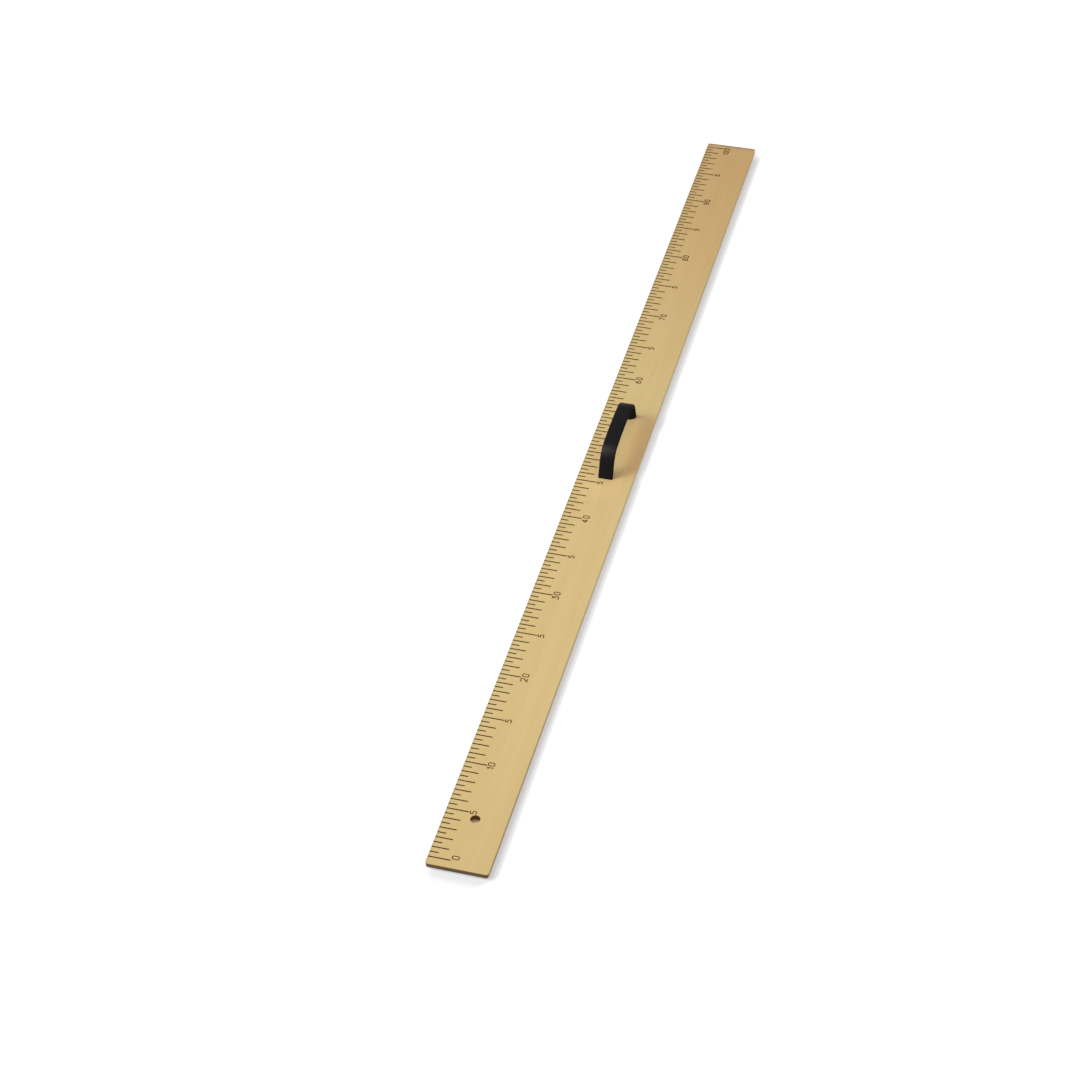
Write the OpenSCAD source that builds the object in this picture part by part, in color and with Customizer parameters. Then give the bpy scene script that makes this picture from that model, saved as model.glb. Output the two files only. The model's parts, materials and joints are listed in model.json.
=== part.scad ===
// Metre rule for writing on a blackboard: a flat wooden blade with a printed
// centimetre scale, and a moulded bow handle held by two screws from the back.
// The back of the blade lies on Z = 0 with its middle at the origin.
// The zero end of the scale is at -X, and the graduated edge is at +Y.

/* [Blade] */
// Length of the blade
blade_l = 1015; // [1010:1:1040]
// Width of the blade
blade_w = 50; // [50:1:60]
// Thickness of the blade
blade_t = 4; // [3.6:0.1:6]
// Radius of the four corners, seen from above
corner_r = 3; // [1:0.5:7]
// Radius that breaks every edge of the face and of the back
edge_r = 0.5; // [0.2:0.1:0.6]

/* [Hanging hole] */
// Diameter of the hole at the zero end
hole_d = 8; // [5:0.1:10]
// Distance from the zero end to the middle of the hole
hole_inset = 51.5; // [20:0.5:80]

/* [Scale] */
// Length of the scale from its first mark to its last
scale_l = 1000; // [500:100:1000]
// Distance from one mark to the next
mark_pitch = 5; // [5:5:10]
// Width of a mark
mark_w = 1; // [0.3:0.05:1.2]
// Thickness of the printed ink
ink_t = 0.04; // [0.03:0.01:0.1]
// Length of the marks at every five centimetres
mark_long = 17.8; // [15:0.1:17.9]
// Length of the marks at the other whole centimetres
mark_mid = 13.8; // [9:0.1:14]
// Length of the marks at the half centimetres
mark_short = 6.9; // [4:0.1:8]

/* [Handle] */
// Length of the handle over its two feet
handle_l = 94; // [88:1:110]
// Height of the handle above the blade
handle_h = 26; // [24:0.5:34]
// Distance of the handle's middle from the blade's middle, towards the far end
handle_shift = 3; // [-10:0.5:10]
// Width of the bow's strap
strap_w = 13; // [11:0.2:13.2]
// Thickness of the bow's strap
strap_t = 3.5; // [3.2:0.1:4.5]
// Radius that rounds the strap's two outer edges
strap_edge_r = 1.1; // [0.6:0.1:1.4]
// Thickness of a leg where it stands on the blade, at the crown of its rounded inner side
foot_t = 8.2; // [7:0.1:9]
// Height above the blade at which a leg has thinned down to the strap
taper_h = 13; // [10:0.5:13]
// How far each leg leans in from upright, in degrees
leg_lean = 21; // [17:1:28]
// Outer radius of the shoulder between a leg and the arch
shoulder_r = 18; // [12:1:20]
// Outer radius of the long arch along the top
arch_r = 280; // [200:10:400]

/* [Screws] */
// Distance from the outer face of a foot to the middle of its screw
screw_inset = 5; // [4.5:0.1:5.5]
// Length of a screw, from the flat of its head to its tip
screw_l = 10; // [9:0.5:10]
// Diameter of a screw's head
head_d = 5.6; // [5.3:0.1:6]
// Diameter of a screw's plain shank
shank_d = 2.9; // [2.6:0.1:3]
// Diameter of a screw's core, where it bites into the handle
core_d = 2.3; // [2:0.1:2.4]

/* [Hidden] */
$fn = 64;

// How far a cutting shape runs past the face that it cuts
past = 1;
// How far the flat of a screw's head lies below the back of the blade
head_sink = 0.2;
// Play round a screw's shank in the blade, and round its core in the handle
shank_play = 0.15;
core_play = 0.05;
// Depth of the straight part of a pilot hole, and of its pointed end
pilot_depth = 6.2;
pilot_tip = 0.8;
// Length of a screw's pointed tip
tip_l = 1.6;
// Arms of the cross recess in a screw's head: length, width and depth
cross_l = 3.2;
cross_w = 0.75;
cross_depth = 1;
// Depth of the strap's flat sides, before its inner side starts to round
flat_side = 2.6;
// How square the inner side's curve is, from 0 for a box to 1 for an ellipse
square_strap = 0.5;
square_foot = 1;
// Cross-sections along a leg, round a shoulder and along half of the arch
leg_steps = 7;
shoulder_steps = 12;
arch_steps = 6;
// Points on the inner side of a cross-section, and round one of its outer edges
inner_steps = 14;
edge_steps = 4;

mark_count = scale_l / mark_pitch;
// The marks stop just short of where the edge of the face is rounded off
mark_start_y = blade_w / 2 - edge_r;

foot_x = handle_l / 2;
// Distance of each screw from the handle's middle
screw_x = foot_x - screw_inset;
screw_xs = [handle_shift - screw_x, handle_shift + screw_x];
// Height of the middle of the arch's circle above the blade, a negative number
arch_z = handle_h - arch_r;
// The shoulder's circle touches the leg's outer line, and touches the arch from inside.
// Its middle lies shoulder_r inside that line, at the distance leg_run up from the foot.
from_x = foot_x - shoulder_r * cos(leg_lean);
from_z = -shoulder_r * sin(leg_lean) - arch_z;
half_b = from_z * cos(leg_lean) - from_x * sin(leg_lean);
rest_c = from_x * from_x + from_z * from_z - pow(arch_r - shoulder_r, 2);
leg_run = sqrt(half_b * half_b - rest_c) - half_b;
shoulder_x = from_x - leg_run * sin(leg_lean);
shoulder_z = arch_z + from_z + leg_run * cos(leg_lean);
// Half of the angle that the arch spans
arch_half = atan2(shoulder_x, shoulder_z - arch_z);

// A station is where a cross-section of the bow lies: a point of its outer line, the angle
// above +X that its outer face turns to, its thickness and how square its inner side is.

// A station at some distance up a leg. Its section lies flat on the blade at the foot,
// and has turned square to the leg at the top.
function leg_station(run) =
    let (
        z = run * cos(leg_lean),
        turn = leg_lean * run / leg_run,
        swell = pow(max(0, 1 - z / taper_h), 2),
        thin = strap_t / cos(leg_lean - turn)
    )
    [
        foot_x - run * sin(leg_lean),
        z,
        turn,
        thin + (foot_t - thin) * swell,
        square_strap + (square_foot - square_strap) * swell
    ];

// A station on a circle about [x, z], where the strap keeps its own section
function round_station(x, z, r, angle) =
    [x + r * cos(angle), z + r * sin(angle), angle, strap_t, square_strap];

half_bow = concat(
    [for (i = [0 : leg_steps - 1]) leg_station(leg_run * i / leg_steps)],
    [for (i = [0 : shoulder_steps - 1])
        round_station(shoulder_x, shoulder_z, shoulder_r,
            leg_lean + (90 - arch_half - leg_lean) * i / shoulder_steps)],
    [for (i = [0 : arch_steps])
        round_station(0, arch_z, arch_r, 90 - arch_half * (1 - i / arch_steps))]
);
bow = concat(
    half_bow,
    [for (i = [len(half_bow) - 2 : -1 : 0])
        let (s = half_bow[i]) [-s[0], s[1], 180 - s[2], s[3], s[4]]]
);

// The section's outline as [across the strap, depth below its outer face]
function section(thickness, square) = concat(
    [for (i = [0 : edge_steps]) let (a = 90 * i / edge_steps)
        [-strap_w / 2 + strap_edge_r * (1 - cos(a)), strap_edge_r * (1 - sin(a))]],
    [for (i = [edge_steps : -1 : 0]) let (a = 90 * i / edge_steps)
        [strap_w / 2 - strap_edge_r * (1 - cos(a)), strap_edge_r * (1 - sin(a))]],
    [for (i = [0 : inner_steps]) let (a = 90 - 180 * i / inner_steps)
        [
            strap_w / 2 * sign(sin(a)) * pow(abs(sin(a)), square),
            flat_side + (thickness - flat_side) * pow(max(0, cos(a)), square)
        ]]
);

// The section's outline where it lies in the bow
function ring(s) = [
    for (p = section(s[3], s[4]))
        [s[0] - p[1] * cos(s[2]), p[0], s[1] - p[1] * sin(s[2])]
];

// Length of the mark at a given count of half centimetres from zero
function mark_length(halves) =
    halves % 10 == 0 ? mark_long :
    halves % 2 == 0 ? mark_mid :
    mark_short;

// A rectangle about the origin with true arcs at its corners
module rounded_rect(w, h, r) {
    square([w - 2 * r, h], center = true);
    square([w, h - 2 * r], center = true);
    for (x = [-1, 1], y = [-1, 1])
        translate([x * (w / 2 - r), y * (h / 2 - r)])
            circle(r);
}

// The blade's solid before it is drilled, with all its outer edges broken
module blade_blank() {
    intersection() {
        linear_extrude(blade_t)
            rounded_rect(blade_l, blade_w, corner_r);
        translate([-blade_l / 2, 0, blade_t / 2])
            rotate([90, 0, 90])
                linear_extrude(blade_l)
                    rounded_rect(blade_w, blade_t, edge_r);
        translate([0, blade_w / 2, blade_t / 2])
            rotate([90, 0, 0])
                linear_extrude(blade_w)
                    rounded_rect(blade_l, blade_t, edge_r);
    }
}

// The hole through the blade for one screw, countersunk from the back
module screw_hole() {
    hole_r = shank_d / 2 + shank_play;
    sink_r = head_d / 2 + head_sink;
    translate([0, 0, -past])
        cylinder(r = hole_r, h = blade_t + 2 * past);
    translate([0, 0, -past])
        cylinder(r1 = sink_r + past, r2 = hole_r, h = sink_r - hole_r + past);
}

module blade() {
    color("#d9be87")
        difference() {
            blade_blank();
            translate([hole_inset - blade_l / 2, 0, -past])
                cylinder(d = hole_d, h = blade_t + 2 * past);
            for (x = screw_xs)
                translate([x, 0, 0])
                    screw_hole();
        }
}

module scale_marks() {
    color("#4b3422")
        for (i = [0 : mark_count]) {
            length = mark_length(i * mark_pitch / 5);
            translate([i * mark_pitch - scale_l / 2 - mark_w / 2, mark_start_y - length, blade_t])
                cube([mark_w, length, ink_t]);
        }
}

// The bow as one skin over its sections, standing on the plane Z = 0
module bow_solid() {
    sides = len(section(strap_t, square_strap));
    last = len(bow) - 1;
    polyhedron(
        points = [for (s = bow) each ring(s)],
        faces = concat(
            [[for (j = [sides - 1 : -1 : 0]) j]],
            [[for (j = [0 : sides - 1]) last * sides + j]],
            [for (i = [0 : last - 1], j = [0 : sides - 1])
                let (here = i * sides, next = here + sides, k = (j + 1) % sides)
                each [[here + j, here + k, next + k], [here + j, next + k, next + j]]]
        )
    );
}

// The blind hole in a foot that a screw cuts its thread in
module pilot_hole() {
    pilot_r = core_d / 2 + core_play;
    translate([screw_x, 0, -past])
        cylinder(r = pilot_r, h = pilot_depth + past);
    translate([screw_x, 0, pilot_depth])
        cylinder(r1 = pilot_r, r2 = pilot_r / 3, h = pilot_tip);
}

module handle() {
    color("#262428")
        translate([handle_shift, 0, blade_t])
            difference() {
                bow_solid();
                for (side = [0, 1])
                    mirror([side, 0, 0])
                        pilot_hole();
            }
}

// One countersunk screw, with its axis on Z and the flat of its head downwards
module screw() {
    head_r = head_d / 2;
    shank_r = shank_d / 2;
    core_r = core_d / 2;
    translate([0, 0, head_sink])
        difference() {
            union() {
                cylinder(r1 = head_r, r2 = shank_r, h = head_r - shank_r);
                cylinder(r = shank_r, h = blade_t - head_sink);
                cylinder(r = core_r, h = screw_l - tip_l);
                translate([0, 0, screw_l - tip_l])
                    cylinder(r1 = core_r, r2 = core_r / 4, h = tip_l);
            }
            for (turn = [0, 90])
                rotate([0, 0, turn])
                    translate([-cross_l / 2, -cross_w / 2, -past])
                        cube([cross_l, cross_w, cross_depth + past]);
        }
}

module handle_screws() {
    color("silver")
        for (x = screw_xs)
            translate([x, 0, 0])
                screw();
}

blade();
scale_marks();
handle();
handle_screws();
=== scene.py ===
import json
import math

import bpy
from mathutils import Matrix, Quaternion, Vector

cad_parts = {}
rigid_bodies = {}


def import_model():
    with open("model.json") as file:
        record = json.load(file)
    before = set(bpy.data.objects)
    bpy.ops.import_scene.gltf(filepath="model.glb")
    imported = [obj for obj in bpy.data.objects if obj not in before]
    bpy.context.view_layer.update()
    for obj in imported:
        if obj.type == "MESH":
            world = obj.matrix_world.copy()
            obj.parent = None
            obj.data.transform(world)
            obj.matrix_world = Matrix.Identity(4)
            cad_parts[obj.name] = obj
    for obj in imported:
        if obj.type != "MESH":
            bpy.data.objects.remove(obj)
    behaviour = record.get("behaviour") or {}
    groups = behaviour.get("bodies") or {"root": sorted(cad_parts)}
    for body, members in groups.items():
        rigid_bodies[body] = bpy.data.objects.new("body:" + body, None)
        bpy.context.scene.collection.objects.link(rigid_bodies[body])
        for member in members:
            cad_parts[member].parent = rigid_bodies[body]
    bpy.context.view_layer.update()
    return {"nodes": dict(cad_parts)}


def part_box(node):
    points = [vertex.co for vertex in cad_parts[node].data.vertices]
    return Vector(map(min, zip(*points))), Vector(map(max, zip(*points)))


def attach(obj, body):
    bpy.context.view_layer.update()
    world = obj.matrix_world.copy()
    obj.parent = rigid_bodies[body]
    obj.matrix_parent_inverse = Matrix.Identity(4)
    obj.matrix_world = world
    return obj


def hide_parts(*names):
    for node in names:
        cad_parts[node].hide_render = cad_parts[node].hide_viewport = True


# The looks of a metre rule for a blackboard: its wood, its printed scale, its bow handle and
# the two screws behind it. The figures of the scale are drawn here. Lengths are in metres, in
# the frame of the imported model, and those written in millimetres are multiplied by MM.
MM = 0.001
SCALE_LENGTH = 1.0

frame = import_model()
nodes = frame["nodes"]

blade_low, blade_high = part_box("blade")
handle_low, handle_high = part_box("handle")
marks_low, marks_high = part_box("scale_marks")

FACE_Z = blade_high.z
INK_T = marks_high.z - FACE_Z
SCALE_START = (marks_low.x + marks_high.x - SCALE_LENGTH) / 2
MARK_W = marks_high.x - marks_low.x - SCALE_LENGTH


# Working on one piece at a time

def deselect_all():
    for thing in bpy.context.view_layer.objects:
        thing.select_set(False)
    bpy.context.view_layer.objects.active = None


def work_on(piece):
    deselect_all()
    piece.select_set(True)
    bpy.context.view_layer.objects.active = piece


def put_place_in_mesh(piece):
    work_on(piece)
    bpy.ops.object.transform_apply(location=True, rotation=True, scale=True)


def hand_over(piece, name, finish):
    """Gives a finished piece its name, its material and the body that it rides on."""
    piece.name = name
    piece.data.name = name
    piece.data.materials.clear()
    piece.data.materials.append(finish)
    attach(piece, "root")


# Shader nodes

class Shader:
    """A material or a node group, with short calls that add its nodes and join them."""

    def __init__(self, tree):
        self.tree = tree
        self.nodes = tree.nodes

    def add(self, kind, inputs=None, **settings):
        node = self.nodes.new(kind)
        for key, value in settings.items():
            setattr(node, key, value)
        for key, value in (inputs or {}).items():
            self.feed(node.inputs[key], value)
        return node

    def feed(self, socket, value):
        if isinstance(value, bpy.types.NodeSocket):
            self.tree.links.new(value, socket)
        else:
            socket.default_value = value

    def math(self, operation, first, second=0.0):
        node = self.add("ShaderNodeMath", operation=operation)
        self.feed(node.inputs[0], first)
        self.feed(node.inputs[1], second)
        return node.outputs[0]

    def mix(self, share, low, high, blend="MIX"):
        node = self.add("ShaderNodeMix", data_type="RGBA", blend_type=blend)
        self.feed(node.inputs["Factor"], share)
        self.feed(node.inputs["A"], low)
        self.feed(node.inputs["B"], high)
        return node.outputs["Result"]

    def remap(self, value, low, high, new_low=0.0, new_high=1.0):
        node = self.add("ShaderNodeMapRange", {
            "Value": value, "From Min": low, "From Max": high,
            "To Min": new_low, "To Max": new_high,
        })
        return node.outputs["Result"]

    def smooth(self, value, low, high, most=1.0):
        """0 at low and most at high, with a soft start and end."""
        node = self.add("ShaderNodeMapRange", {
            "Value": value, "From Min": low, "From Max": high, "To Max": most,
        }, interpolation_type="SMOOTHSTEP")
        return node.outputs["Result"]

    def object_point(self, scale=(1, 1, 1), turn=(0, 0, 0)):
        """The object's own coordinates, stretched by scale."""
        place = self.add("ShaderNodeTexCoord").outputs["Object"]
        node = self.add("ShaderNodeMapping", {"Vector": place, "Rotation": turn, "Scale": scale})
        return node.outputs["Vector"]

    def noise(self, point, scale, detail=3.0, roughness=0.5, distortion=0.0):
        node = self.add("ShaderNodeTexNoise", {
            "Vector": point, "Scale": scale, "Detail": detail,
            "Roughness": roughness, "Distortion": distortion,
        })
        return node.outputs["Fac"]

    def bump(self, height, distance, strength=1.0):
        node = self.add("ShaderNodeBump", {
            "Height": height, "Distance": distance, "Strength": strength,
        })
        return node.outputs["Normal"]


def new_group(name, inputs, outputs):
    """An empty node group with named sockets. Each is a name, a kind and a default value."""
    tree = bpy.data.node_groups.new(name, "ShaderNodeTree")
    for label, kind, default in inputs:
        socket = tree.interface.new_socket(label, in_out="INPUT", socket_type="NodeSocket" + kind)
        socket.default_value = default
    for label, kind in outputs:
        tree.interface.new_socket(label, in_out="OUTPUT", socket_type="NodeSocket" + kind)
    shader = Shader(tree)
    return tree, shader, shader.add("NodeGroupInput").outputs, shader.add("NodeGroupOutput").inputs


def handling_marks_group():
    """Fine scratches and soft smudges, as bare masks, for every finish that hands touch."""
    tree, s, given, out = new_group(
        "handling_marks",
        [("Scratch Scale", "Float", 60.0), ("Smudge Scale", "Float", 25.0)],
        [("Scratches", "Float"), ("Smudges", "Float")],
    )
    hairs = []
    for turn, stretch in ((0.35, 14.0), (-1.1, 18.0)):
        point = s.object_point(scale=(1.0, stretch, 1.0), turn=(0, 0, turn))
        noise = s.add("ShaderNodeTexNoise", {
            "Vector": point, "Scale": given["Scratch Scale"], "Detail": 4.0, "Distortion": 0.4,
        })
        hairs.append(s.remap(noise.outputs["Fac"], 0.66, 0.72))
    s.feed(out["Scratches"], s.math("MAXIMUM", hairs[0], hairs[1]))
    smudge = s.add("ShaderNodeTexNoise", {
        "Vector": s.object_point(), "Scale": given["Smudge Scale"], "Detail": 2.0,
    })
    s.feed(out["Smudges"], s.remap(smudge.outputs["Fac"], 0.35, 0.7))
    return tree


def new_finish(name):
    finish = bpy.data.materials.new(name)
    finish.use_nodes = True
    shader = Shader(finish.node_tree)
    return finish, shader, shader.nodes["Principled BSDF"].inputs


HANDLING = handling_marks_group()


def handling_marks(shader, scratch_scale, smudge_scale):
    node = shader.add("ShaderNodeGroup", node_tree=HANDLING)
    node.inputs["Scratch Scale"].default_value = scratch_scale
    node.inputs["Smudge Scale"].default_value = smudge_scale
    return node.outputs["Scratches"], node.outputs["Smudges"]


# Finishes

WOOD_LIGHT = (0.700, 0.528, 0.236, 1)
WOOD_DARK = (0.660, 0.482, 0.205, 1)
WOOD_FLECK = (0.500, 0.335, 0.125, 1)
FAR_SHADE_TONE = (0.925, 0.820, 0.760, 1)
SIDE_SHADE_NEAR = (0.690, 0.610, 0.520, 1)
SIDE_LIGHT_FAR = (1.060, 1.090, 1.160, 1)
LEFT_RIM_TONE = (0.840, 0.890, 1.000, 1)
RIGHT_RIM_TONE = (0.930, 0.960, 1.050, 1)
FAR_RIM_TONE = (0.620, 0.680, 0.800, 1)
HOLE_TONE = (1.080, 0.960, 0.560, 1)
GRIP_SHADOW_TONE = (1.040, 0.940, 0.950, 1)
GRIP_LIGHT_TONE = (1.090, 1.060, 1.065, 1)
END_GRAIN = (0.130, 0.076, 0.034, 1)
END_GRAIN_LIGHT = (0.215, 0.132, 0.070, 1)
INK_BROWN = (0.042, 0.017, 0.002, 1)
INK_WORN = (0.100, 0.048, 0.006, 1)
INK_THIN = (0.125, 0.050, 0.002, 1)
INK_SOAKED = (0.420, 0.300, 0.110, 1)
BLACK = (0.0105, 0.0100, 0.0105, 1)
BLACK_DUSTY = (0.0150, 0.0142, 0.0150, 1)
BLACK_HIGHLIGHT = (0.0640, 0.0500, 0.0480, 1)
ZINC = (0.62, 0.62, 0.60, 1)
ZINC_DULL = (0.40, 0.40, 0.39, 1)

LEFT_RIM_W = 2.6 * MM
RIGHT_RIM_W = 1.0 * MM
FAR_RIM_W = 5.0 * MM
HOLE_X = -0.456
HOLE_R = 4 * MM
# How far round the hole's axis its wall is looked for
HOLE_REACH = HOLE_R + 0.3 * MM
GRIP_X = (handle_low.x + handle_high.x) / 2

# Where each change of the wood's tone starts and where it is full. Those round the handle are
# measured from its middle along the blade, and from the blade's middle across it.
FAR_SHADE_ALONG = (0.10, 0.48)
SIDE_SHADE_ALONG = (-0.47, -0.15)
GRIP_SHADOW_ALONG = (52 * MM, 30 * MM)
GRIP_SHADOW_ACROSS = (-5 * MM, -19 * MM)
GRIP_LIGHT_NEAR = (-83 * MM, -55 * MM)
GRIP_LIGHT_FAR = (55 * MM, 41 * MM)
GRIP_LIGHT_ACROSS = (-21 * MM, -13 * MM)
ON_FACE = (FACE_Z - 2 * MM, FACE_Z - 0.5 * MM)

# How often marks of each length come, and how long they are
MARK_LENGTHS = ((5 * MM, 6.9 * MM), (10 * MM, 13.8 * MM), (50 * MM, 17.8 * MM))
# How far the ink has crept into the grain, and the part of the scale over which that grows
INK_REACH = 0.30 * MM
SOAKED_RISE = (0.05, 0.45)
SOAKED_LEAST = 0.4

# Every figure lies below this line
FIGURE_TOP_Y = 6.5 * MM


def near_hole(shader, place):
    """1 in the hanging hole and on its wall, and 0 outside it."""
    along = shader.math("SUBTRACT", place["X"], HOLE_X)
    squares = shader.math("MULTIPLY", along, along), shader.math("MULTIPLY", place["Y"], place["Y"])
    return shader.math("LESS_THAN", shader.math("ADD", *squares), HOLE_REACH ** 2)


def soaked_by_marks(shader, place, waver):
    """The wood beside each printed mark that its ink has soaked into, less so near the zero."""
    along = shader.math("SUBTRACT", place["X"], SCALE_START)
    soaked = 0.0
    for pitch, length in MARK_LENGTHS:
        off_mark = shader.math("ADD", shader.math("PINGPONG", along, pitch / 2), waver)
        share = shader.smooth(off_mark, MARK_W / 2 + INK_REACH, MARK_W / 2)
        reached = shader.math("GREATER_THAN", place["Y"], marks_high.y - length)
        soaked = shader.math("MAXIMUM", soaked, shader.math("MULTIPLY", share, reached))
    for inside in (
        shader.math("LESS_THAN", place["Y"], marks_high.y),
        shader.math("GREATER_THAN", place["Z"], FACE_Z - INK_REACH),
        shader.math("LESS_THAN", shader.math("ABSOLUTE", along), SCALE_LENGTH + MARK_W),
        shader.math("GREATER_THAN", along, -MARK_W),
        shader.remap(along, *SOAKED_RISE, SOAKED_LEAST, 1.0),
    ):
        soaked = shader.math("MULTIPLY", soaked, inside)
    return soaked


def varnished_wood():
    """Pale close-grained wood under satin varnish, with dark end grain."""
    finish, s, surface = new_finish("varnished_wood")
    along = s.object_point(scale=(0.030, 1, 1))
    fibres = s.noise(along, 900, detail=5, roughness=0.6)
    figure = s.noise(s.object_point(scale=(0.05, 1, 1)), 70, detail=3, distortion=0.8)
    broad = s.noise(s.object_point(), 5, detail=1)
    tone = s.math("ADD", s.math("MULTIPLY", fibres, 0.45), s.math("MULTIPLY", figure, 0.55))
    wood = s.mix(s.remap(tone, 0.40, 0.62), WOOD_LIGHT, WOOD_DARK)
    wood = s.mix(s.remap(broad, 0.35, 0.75, 0.0, 0.35), wood, WOOD_DARK)
    flecks = s.noise(s.object_point(scale=(0.16, 1, 1)), 1400, detail=1)
    wood = s.mix(s.remap(flecks, 0.70, 0.80, 0.0, 0.45), wood, WOOD_FLECK)

    # Painted shade: the face gets warmer and darker towards the far end, where less light falls
    place = s.add("ShaderNodeSeparateXYZ", {0: s.object_point()}).outputs
    wood = s.mix(s.remap(place["X"], *FAR_SHADE_ALONG), wood, FAR_SHADE_TONE, blend="MULTIPLY")

    # Painted shade and painted light round the handle: a warmer tint where its shadow falls,
    # between it and the plain edge, and a brighter face round it
    from_grip = s.math("SUBTRACT", place["X"], GRIP_X)
    for tone, shares in (
        (GRIP_SHADOW_TONE, (
            s.smooth(s.math("ABSOLUTE", from_grip), *GRIP_SHADOW_ALONG),
            s.remap(place["Y"], *GRIP_SHADOW_ACROSS),
        )),
        (GRIP_LIGHT_TONE, (
            s.smooth(from_grip, *GRIP_LIGHT_NEAR),
            s.smooth(from_grip, *GRIP_LIGHT_FAR),
            s.smooth(place["Y"], *GRIP_LIGHT_ACROSS),
        )),
    ):
        painted_share = s.remap(place["Z"], *ON_FACE)
        for share in shares:
            painted_share = s.math("MULTIPLY", painted_share, share)
        wood = s.mix(painted_share, wood, tone, blend="MULTIPLY")

    # The sides carry painted shade: darker than the face at the near end, and painted lighter and
    # cooler towards the far end
    facing = s.add("ShaderNodeSeparateXYZ", {0: s.add("ShaderNodeNewGeometry").outputs["Normal"]})
    upright = s.math("ABSOLUTE", facing.outputs["Z"])
    side = s.mix(s.remap(place["X"], *SIDE_SHADE_ALONG), SIDE_SHADE_NEAR, SIDE_LIGHT_FAR)
    wood = s.mix(s.remap(upright, 0.75, 0.30), wood, side, blend="MULTIPLY")
    # A wavering rim along the two long edges and the far end is greyer and darker
    waver = s.remap(figure, 0, 1, -RIGHT_RIM_W / 3, RIGHT_RIM_W / 3)
    for distance, rim_w, tone in (
        (s.math("SUBTRACT", blade_high.y, place["Y"]), LEFT_RIM_W, LEFT_RIM_TONE),
        (s.math("ADD", blade_high.y, place["Y"]), RIGHT_RIM_W, RIGHT_RIM_TONE),
        (s.math("SUBTRACT", blade_high.x, place["X"]), FAR_RIM_W, FAR_RIM_TONE),
    ):
        rim = s.remap(s.math("ADD", distance, waver), rim_w, rim_w / 3)
        wood = s.mix(rim, wood, tone, blend="MULTIPLY")

    # The ink of the marks has crept a little way along the fibres
    spread = s.remap(fibres, 0.3, 0.7, INK_REACH / 3, -INK_REACH / 3)
    wood = s.mix(soaked_by_marks(s, place, spread), wood, INK_SOAKED, blend="MULTIPLY")

    endwise = s.math("ABSOLUTE", facing.outputs["X"])
    pores = s.noise(s.object_point(), 2200, detail=3)
    end_grain = s.mix(s.remap(pores, 0.35, 0.7), END_GRAIN, END_GRAIN_LIGHT)
    # The drilled wall of the hanging hole shows end grain all round, stained by the drill
    drilled = near_hole(s, place)
    drilled = s.math("MULTIPLY", drilled, s.remap(upright, 0.75, 0.30))
    end_grain = s.mix(drilled, end_grain, HOLE_TONE, blend="MULTIPLY")
    end_share = s.math("MAXIMUM", s.remap(endwise, 0.35, 0.75), drilled)
    s.feed(surface["Base Color"], s.mix(end_share, wood, end_grain))

    scratches, smudges = handling_marks(s, 30, 12)
    gloss = s.math("ADD", s.remap(smudges, 0, 1, 0.44, 0.54), s.math("MULTIPLY", scratches, 0.05))
    s.feed(surface["Roughness"], s.mix(end_share, gloss, (0.75, 0.75, 0.75, 1)))
    height = s.math("ADD", fibres, s.math("MULTIPLY", flecks, 0.6))
    s.feed(surface["Normal"], s.bump(height, 0.06 * MM, 0.5))
    surface["Specular IOR Level"].default_value = 0.25
    return finish


def scale_ink():
    """Dark brown ink, thin and redder on the figures, and worn where the grain stands up."""
    finish, s, surface = new_finish("scale_ink")
    place = s.add("ShaderNodeSeparateXYZ", {0: s.object_point()}).outputs
    on_figures = s.math("LESS_THAN", place["Y"], FIGURE_TOP_Y + 0.1 * MM)
    brown = s.mix(on_figures, INK_BROWN, INK_THIN)
    worn = s.noise(s.object_point(scale=(0.05, 1, 1)), 1200, detail=4, roughness=0.65)
    s.feed(surface["Base Color"], s.mix(s.remap(worn, 0.52, 0.75), brown, INK_WORN))
    s.feed(surface["Roughness"], s.remap(worn, 0.3, 0.7, 0.5, 0.65))
    s.feed(surface["Normal"], s.bump(worn, 0.02 * MM, 0.5))
    surface["Specular IOR Level"].default_value = 0.08
    return finish


# Where the painted highlight on the handle lies: how far out from its middle and over what reach,
# and from where to where it grows across and upwards
HIGHLIGHT_X = 34 * MM
HIGHLIGHT_REACH = 8 * MM
HIGHLIGHT_Y = (-14 * MM, 7 * MM)
HIGHLIGHT_Z = (20 * MM, 27 * MM)


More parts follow.
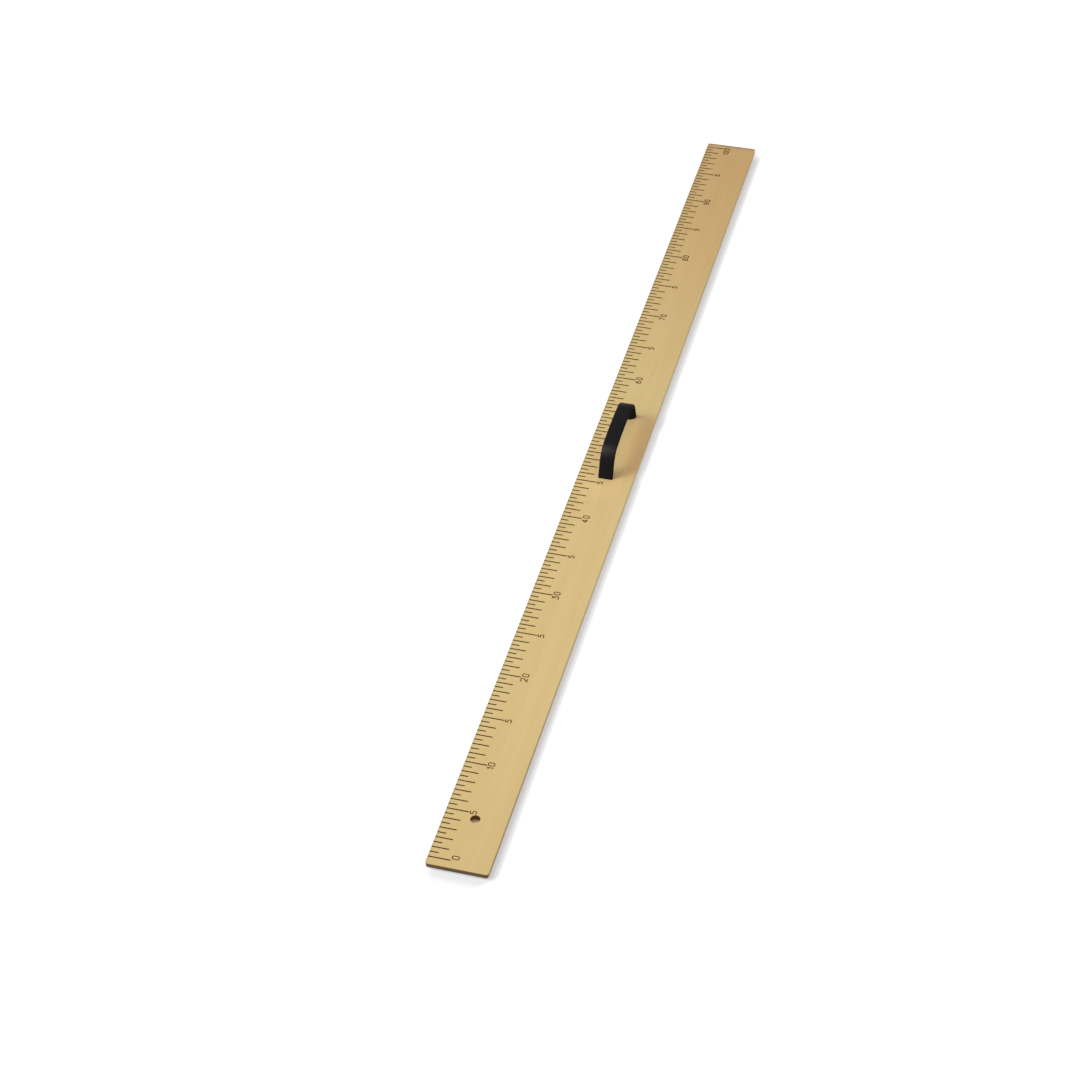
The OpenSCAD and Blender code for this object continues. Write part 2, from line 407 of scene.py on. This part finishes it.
def black_plastic():
    """Black moulded plastic with a fine spark-eroded grain."""
    finish, s, surface = new_finish("black_plastic")
    scratches, smudges = handling_marks(s, 90, 45)
    grain = s.noise(s.object_point(), 3500, detail=2)
    dust = s.math("MULTIPLY", smudges, 0.5)
    # A painted highlight greys the outside of both shoulders, most of all on the side of the scale
    place = s.add("ShaderNodeSeparateXYZ", {0: s.object_point()}).outputs
    along = s.math("ABSOLUTE", s.math("SUBTRACT", place["X"], GRIP_X))
    off_shoulder = s.math("ABSOLUTE", s.math("SUBTRACT", along, HIGHLIGHT_X))
    painted_highlight = s.smooth(off_shoulder, HIGHLIGHT_REACH, 0)
    for share in (
        s.smooth(place["Z"], *HIGHLIGHT_Z),
        s.remap(place["Y"], *HIGHLIGHT_Y),
        s.remap(smudges, 0, 1, 0.75, 1.0),
    ):
        painted_highlight = s.math("MULTIPLY", painted_highlight, share)
    black = s.mix(painted_highlight, s.mix(dust, BLACK, BLACK_DUSTY), BLACK_HIGHLIGHT)
    s.feed(surface["Base Color"], black)
    # The narrow sides keep the matt grain of the mould, and hands have smoothed the rest
    facing = s.add("ShaderNodeSeparateXYZ", {0: s.add("ShaderNodeNewGeometry").outputs["Normal"]})
    sideways = s.math("ABSOLUTE", facing.outputs["Y"])
    gloss = s.math("ADD", s.remap(smudges, 0, 1, 0.54, 0.64), s.math("MULTIPLY", scratches, 0.08))
    gloss = s.math("ADD", gloss, s.remap(sideways, 0.4, 0.8, 0.0, 0.25))
    s.feed(surface["Roughness"], gloss)
    height = s.math("SUBTRACT", grain, s.math("MULTIPLY", scratches, 0.5))
    s.feed(surface["Normal"], s.bump(height, 0.03 * MM, 0.4))
    surface["Specular IOR Level"].default_value = 0.03
    return finish


def zinc_steel():
    """Bright zinc on the screws, dulled in patches."""
    finish, s, surface = new_finish("zinc_steel")
    scratches, smudges = handling_marks(s, 300, 400)
    s.feed(surface["Base Color"], s.mix(smudges, ZINC, ZINC_DULL))
    s.feed(surface["Roughness"], s.math("ADD", s.remap(smudges, 0, 1, 0.25, 0.42), scratches))
    spangle = s.noise(s.object_point(), 2500, detail=3)
    s.feed(surface["Normal"], s.bump(spangle, 0.02 * MM, 0.4))
    surface["Metallic"].default_value = 1.0
    return finish


WOOD = varnished_wood()
INK = scale_ink()
PLASTIC = black_plastic()
STEEL = zinc_steel()

for node_name, finish in (
    ("blade", WOOD), ("scale_marks", INK), ("handle", PLASTIC), ("handle_screws", STEEL),
):
    nodes[node_name].data.materials.clear()
    nodes[node_name].data.materials.append(finish)


# The printed figures

FIGURE_H = 6.1 * MM
# The lines of the figures are heavier towards the far end
FIGURE_LINE_NEAR = 0.86 * MM
FIGURE_LINE_FAR = 1.14 * MM
FIGURE_GAP = 1.2 * MM
END_MARGIN = 5.5 * MM
# The fives between the tens are shorter and stand lower
FIVE_H = 5.6 * MM
FIVE_TOP_Y = 6.1 * MM
CORNER_STEPS = 5

# How wide each figure is, in millimetres
FIGURE_W = {
    "0": 4.0, "1": 2.2, "2": 4.4, "3": 4.2, "4": 4.6, "5": 3.8, "6": 4.0, "7": 4.2, "8": 4.0,
    "9": 4.0,
}

# Each figure is one or two pen lines. A corner is its place across and up, as a share of the
# figure's width and height, and the share of the width that rounds it. A closed line ends
# with its first corner.
FIGURES = {
    "0": [[(0.5, 0, 0), (1, 0, 0.42), (1, 1, 0.42), (0, 1, 0.42), (0, 0, 0.42), (0.5, 0, 0)]],
    "1": [[(0, 0.72, 0), (1, 1, 0), (1, 0, 0)]],
    "2": [[(0, 0.78, 0), (0, 1, 0.4), (1, 1, 0.4), (1, 0.58, 0.2), (0, 0, 0), (1, 0, 0)]],
    "3": [[(0, 1, 0), (1, 1, 0), (0.42, 0.6, 0), (1, 0.6, 0.42), (1, 0, 0.42), (0, 0, 0.35),
           (0, 0.16, 0)]],
    "4": [[(0.72, 0, 0), (0.72, 1, 0), (0, 0.3, 0), (1, 0.3, 0)]],
    "5": [[(1, 1, 0), (0.12, 1, 0), (0.05, 0.56, 0), (1, 0.62, 0.42), (1, 0, 0.42),
           (0, 0, 0.35), (0, 0.14, 0)]],
    "6": [[(0.85, 1, 0), (0, 0.75, 0.5), (0, 0, 0.42), (1, 0, 0.42), (1, 0.58, 0.42),
           (0, 0.58, 0.42), (0, 0.3, 0)]],
    "7": [[(0, 1, 0), (1, 1, 0), (0.35, 0, 0)]],
    "8": [[(0.5, 0.53, 0), (0.92, 0.53, 0.35), (0.92, 1, 0.35), (0.08, 1, 0.35),
           (0.08, 0.53, 0.35), (0.5, 0.53, 0)],
          [(0.5, 0.53, 0), (1, 0.53, 0.38), (1, 0, 0.38), (0, 0, 0.38), (0, 0.53, 0.38),
           (0.5, 0.53, 0)]],
    "9": [[(0.15, 0, 0), (1, 0.25, 0.5), (1, 1, 0.42), (0, 1, 0.42), (0, 0.42, 0.42),
           (1, 0.42, 0.42), (1, 0.7, 0)]],
}


def pen_strokes(corners, width, height):
    """The points of each stroke through the corners. A rounded corner gets an arc, and a
    sharp one ends its stroke and starts the next, so that both keep their full width."""
    places = [Vector((x * width, y * height)) for x, y, _ in corners]
    points = [places[0]]
    strokes = [points]
    for i in range(1, len(corners) - 1):
        here = places[i]
        back = places[i - 1] - here
        ahead = places[i + 1] - here
        half_turn = back.angle(ahead) / 2
        radius = corners[i][2] * width
        # An arc may take all of a straight that ends the line, and half of any other
        room_back = back.length * (1 if i == 1 else 0.5)
        room_ahead = ahead.length * (1 if i == len(corners) - 2 else 0.5)
        cut = min(radius / math.tan(half_turn), room_back, room_ahead)
        if cut <= 0:
            points.append(here)
            points = [here]
            strokes.append(points)
            continue
        for step in range(CORNER_STEPS + 1):
            share = step / CORNER_STEPS
            start = here + back.normalized() * cut * (1 - share)
            end = here + ahead.normalized() * cut * share
            points.append(start.lerp(end, share))
    points.append(places[-1])
    return strokes


def write_figure(digit, left, top, height, line):
    """One figure in ink, with its left side and its top at a place on the blade."""
    pen = bpy.data.curves.new("figure_line", "CURVE")
    pen.dimensions = "3D"
    pen.bevel_depth = line / 2
    pen.bevel_resolution = 1
    pen.use_fill_caps = True
    for corners in FIGURES[digit]:
        for points in pen_strokes(corners, FIGURE_W[digit] * MM - line, height - line):
            spline = pen.splines.new("POLY")
            spline.points.add(len(points) - 1)
            for point, at in zip(spline.points, points):
                point.co = (at.x, at.y, 0, 1)
    figure = bpy.data.objects.new("figure", pen)
    bpy.context.scene.collection.objects.link(figure)
    work_on(figure)
    bpy.ops.object.convert(target="MESH")
    figure = bpy.context.active_object
    figure.scale = (1, 1, 2 * INK_T / line)
    figure.location = (left + line / 2, top - height + line / 2, FACE_Z)
    put_place_in_mesh(figure)
    return figure


def scale_figures():
    """The number at every fifth centimetre. Those between the tens are all a five."""
    figures = []
    for centimetres in range(0, 101, 5):
        mark_x = SCALE_START + centimetres * 0.01
        if centimetres % 10 == 0:
            digits, top, height = str(centimetres), FIGURE_TOP_Y, FIGURE_H
        else:
            digits, top, height = "5", FIVE_TOP_Y, FIVE_H
        row_w = sum(FIGURE_W[digit] * MM for digit in digits) + FIGURE_GAP * (len(digits) - 1)
        left = mark_x - row_w / 2
        if centimetres == 0:
            left = mark_x + FIGURE_GAP
        if centimetres == 100:
            left = blade_high.x - END_MARGIN - row_w
        line = FIGURE_LINE_NEAR + (FIGURE_LINE_FAR - FIGURE_LINE_NEAR) * centimetres / 100
        for digit in digits:
            figures.append(write_figure(digit, left, top, height, line))
            left += FIGURE_W[digit] * MM + FIGURE_GAP
    deselect_all()
    for figure in figures:
        figure.select_set(True)
    bpy.context.view_layer.objects.active = figures[0]
    bpy.ops.object.join()
    hand_over(bpy.context.active_object, "scale_figures", INK)


scale_figures()


# The bow handle

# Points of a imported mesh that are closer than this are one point
SAME_POINT = 0.001 * MM
# Edges that turn by more degrees than this stay sharp
HANDLE_SHARP = 35


def smooth_copy(node_name, name, finish, sharp_angle):
    """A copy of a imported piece, with its triangles joined and its rounded faces smooth."""
    copy = bpy.data.objects.new(name, nodes[node_name].data.copy())
    bpy.context.scene.collection.objects.link(copy)
    work_on(copy)
    bpy.ops.object.mode_set(mode="EDIT")
    bpy.ops.mesh.select_all(action="SELECT")
    bpy.ops.mesh.remove_doubles(threshold=SAME_POINT)
    bpy.ops.object.mode_set(mode="OBJECT")
    if copy.data.has_custom_normals:
        bpy.ops.mesh.customdata_custom_splitnormals_clear()
    bpy.ops.object.shade_smooth_by_angle(angle=math.radians(sharp_angle))
    hand_over(copy, name, finish)
    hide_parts(node_name)


smooth_copy("handle", "bow_handle", PLASTIC, HANDLE_SHARP)


# The floor, the lights and the camera

FLOOR_SIZE = 60.0
FLOOR_ALBEDO = 0.80
FLOOR_LIFT = 0.42
FAR_LIFT = 0.4
EDGE_PAINTED_LIGHT = 0.09
HANDLE_PAINTED_LIGHT = 0.14
HANDLE_ALONG = (48 * MM, 30 * MM)
HANDLE_PAST = (1 * MM, 6 * MM)
SHADOW_LIFT = 0.12
SHADOW_TINT = (0.88, 0.97, 1.06, 1)
SHADOW_PLATEAU = 5.0 * MM
SHADOW_END = 10.0 * MM
END_SHADOW = 20.0 * MM
CORNER_SHADOW = 11.0 * MM
# The floor is open under the blade, up to this far inside its edge
OPEN_INSET = 0.9 * MM
HOLE_SHADE_NEAR = (1.00, 0.76, 0.46, 1)
HOLE_SHADE_DEEP = (0.38, 0.23, 0.10, 1)
SKY_LIGHT = 0.65
SKY_TINT = (1.03, 0.980, 0.965, 1)
KEY_PLACE = Vector((-0.313, 0.739, 0.708))
KEY_AIM = Vector((0, 0, 0))
KEY_W = 0.48
KEY_POWER = 5.7
KEY_TINT = (0.95, 1.03, 1.05)


def seen_directly(shader):
    """1 on rays from the camera, from gloss and through glass, and 0 on the rest."""
    path = shader.add("ShaderNodeLightPath").outputs
    seen = shader.math("MAXIMUM", path["Is Camera Ray"], path["Is Glossy Ray"])
    return shader.math("MAXIMUM", seen, path["Is Transmission Ray"])


def pale_floor():
    """A matt floor that shows white and keeps the shadows. It can't be seen from below, and
    is open under the blade, so that light from below reaches the back of the blade."""
    bpy.ops.mesh.primitive_plane_add(size=FLOOR_SIZE)
    floor = bpy.context.active_object
    floor.name = "floor"
    finish = bpy.data.materials.new("pale_floor")
    finish.use_nodes = True
    s = Shader(finish.node_tree)
    s.nodes.clear()
    # The lift is lowered into a painted shadow along two sides of the blade, deepening the cast
    # shadow there, and the floor beyond it is white
    place = s.add("ShaderNodeSeparateXYZ", {0: s.object_point()}).outputs
    shade_y = s.math("SUBTRACT", s.math("MULTIPLY", place["Y"], -1), blade_high.y)
    shade_x = s.math("SUBTRACT", s.math("MULTIPLY", place["X"], -1), blade_high.x)
    distance = s.math("MAXIMUM", shade_y, shade_x)
    shade = s.smooth(shade_y, SHADOW_END, SHADOW_PLATEAU)
    for share in (
        s.smooth(shade_x, END_SHADOW, SHADOW_PLATEAU),
        s.smooth(place["Y"], blade_high.y + SHADOW_PLATEAU, blade_high.y - SHADOW_END),
        s.smooth(place["X"], blade_high.x, blade_high.x - END_SHADOW),
        s.smooth(s.math("ADD", shade_y, shade_x), CORNER_SHADOW, 0),
    ):
        shade = s.math("MULTIPLY", shade, share)
    strength = s.remap(shade, 0, 1, FLOOR_LIFT, SHADOW_LIFT)
    past_side = s.math("SUBTRACT", s.math("ABSOLUTE", place["Y"]), blade_high.y)
    past_end = s.math("SUBTRACT", s.math("ABSOLUTE", place["X"]), blade_high.x)
    past = s.math("MAXIMUM", past_side, past_end)
    # Painted light on the floor beyond the blade hides most of the handle's shadow there
    off_handle = s.math("ABSOLUTE", s.math("SUBTRACT", place["X"], GRIP_X))
    handle_painted_light = s.math(
        "MULTIPLY",
        s.smooth(off_handle, *HANDLE_ALONG, HANDLE_PAINTED_LIGHT),
        s.smooth(shade_y, *HANDLE_PAST),
    )
    # Painted light also lifts the floor right beside the blade's edges
    for extra in (
        s.smooth(past, END_SHADOW, 4 * END_SHADOW, FAR_LIFT),
        s.remap(distance, 0, SHADOW_PLATEAU, EDGE_PAINTED_LIGHT, 0.0),
        handle_painted_light,
    ):
        strength = s.math("ADD", strength, extra)
    # The floor seen through the hanging hole gets no lift, and a painted shade, dim and warm and
    # darker towards the far end, stands in for the shade of its walls
    in_hole = near_hole(s, place)
    strength = s.math("MULTIPLY", strength, s.math("SUBTRACT", 1, in_hole))
    depth = s.math("SUBTRACT", place["X"], HOLE_X)
    hole_shade = s.mix(s.remap(depth, 0, 0.9 * HOLE_R), HOLE_SHADE_NEAR, HOLE_SHADE_DEEP)
    matt = s.add("ShaderNodeBsdfDiffuse", {
        "Color": s.mix(in_hole, (FLOOR_ALBEDO,) * 3 + (1,), hole_shade),
    })
    # The lift in the painted shadow is tinted, to keep that shadow neutral grey
    lift = s.add("ShaderNodeEmission", {
        "Color": s.mix(shade, (1, 1, 1, 1), SHADOW_TINT),
        "Strength": s.math("MULTIPLY", seen_directly(s), strength),
    })
    top = s.add("ShaderNodeAddShader", {0: matt.outputs[0], 1: lift.outputs[0]})
    clear = s.add("ShaderNodeBsdfTransparent")
    below = s.add("ShaderNodeNewGeometry").outputs["Backfacing"]
    under = s.math("LESS_THAN", past, -OPEN_INSET)
    under = s.math("MULTIPLY", under, s.math("SUBTRACT", 1, in_hole))
    unseen = s.math("MAXIMUM", below, under)
    both = s.add("ShaderNodeMixShader", {0: unseen, 1: top.outputs[0], 2: clear.outputs[0]})
    s.add("ShaderNodeOutputMaterial", {"Surface": both.outputs[0]})
    floor.data.materials.append(finish)


def white_sky():
    """Soft light from all round, which shows as plain white."""
    world = bpy.data.worlds.new("white_sky")
    world.use_nodes = True
    bpy.context.scene.world = world
    s = Shader(world.node_tree)
    strength = s.remap(seen_directly(s), 0, 1, SKY_LIGHT, 1.0)
    tint = s.mix(seen_directly(s), SKY_TINT, (1, 1, 1, 1))
    s.feed(s.nodes["Background"].inputs["Color"], tint)
    s.feed(s.nodes["Background"].inputs["Strength"], strength)


def soft_box(name, place, aim, width, power, tint):
    """A square studio lamp that faces a point of the blade."""
    lamp = bpy.data.lights.new(name, "AREA")
    lamp.shape = "SQUARE"
    lamp.size = width
    lamp.energy = power
    lamp.color = tint
    holder = bpy.data.objects.new(name, lamp)
    holder.location = place
    holder.rotation_mode = "QUATERNION"
    holder.rotation_quaternion = (aim - place).to_track_quat("-Z", "Y")
    bpy.context.scene.collection.objects.link(holder)


# The camera was fitted to the lines of the scale in the photo
CAMERA_PLACE = Vector((-1.6449, -0.3992, 1.4175))
CAMERA_AIM = Vector((-0.12826, 0.03970, 0.0))
CAMERA_ROLL = math.radians(-1.531)
SENSOR_W = 36.0
LENS = 82.17
# How far the camera sees, so that the floor has no edge
SIGHT = 200


def camera():
    data = bpy.data.cameras.new("camera")
    data.sensor_width = SENSOR_W
    data.lens = LENS
    data.clip_end = SIGHT
    view = bpy.data.objects.new("camera", data)
    view.location = CAMERA_PLACE
    view.rotation_mode = "QUATERNION"
    aim = (CAMERA_AIM - CAMERA_PLACE).to_track_quat("-Z", "Y")
    view.rotation_quaternion = aim @ Quaternion((0, 0, 1), CAMERA_ROLL)
    bpy.context.scene.collection.objects.link(view)
    bpy.context.scene.camera = view


pale_floor()
white_sky()
soft_box("key_light", KEY_PLACE, KEY_AIM, KEY_W, KEY_POWER, KEY_TINT)
camera()
bpy.context.scene.view_settings.view_transform = "Standard"
